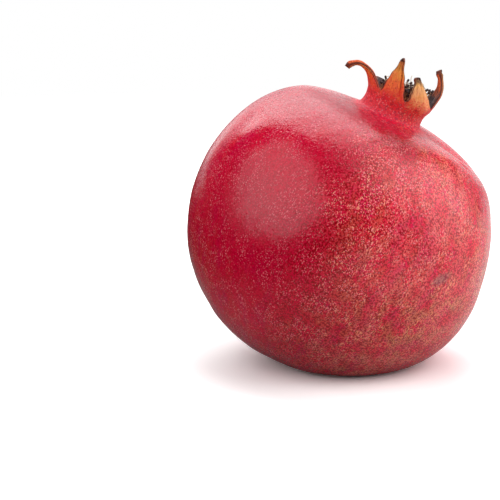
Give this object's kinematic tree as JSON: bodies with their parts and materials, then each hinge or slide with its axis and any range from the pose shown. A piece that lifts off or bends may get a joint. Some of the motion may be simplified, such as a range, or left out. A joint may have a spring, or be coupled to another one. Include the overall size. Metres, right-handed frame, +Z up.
{
  "type": "pomegranate",
  "caption": "Whole ripe pomegranate as picked, with a leathery crimson rind and a crown of pointed calyx lobes round dried stamens, resting upright and a little tilted.",
  "frame": {"origin": "middle of the small flat spot that the fruit rests on", "axes": "+Z up, +X towards the side that the crown leans to, +Y away from the viewer who sees the crown lean right"},
  "size_m": [0.1026, 0.1047, 0.1048],
  "materials": {
    "rind": "leathery satin skin with a thin waxy shine",
    "stamens": "dry, matt, brown",
    "stem": "dry, matt, woody"
  },
  "bodies": {
    "root": {"fruit": "rind", "stamens": "stamens", "stem_stub": "stem"}
  },
  "joints": []
}
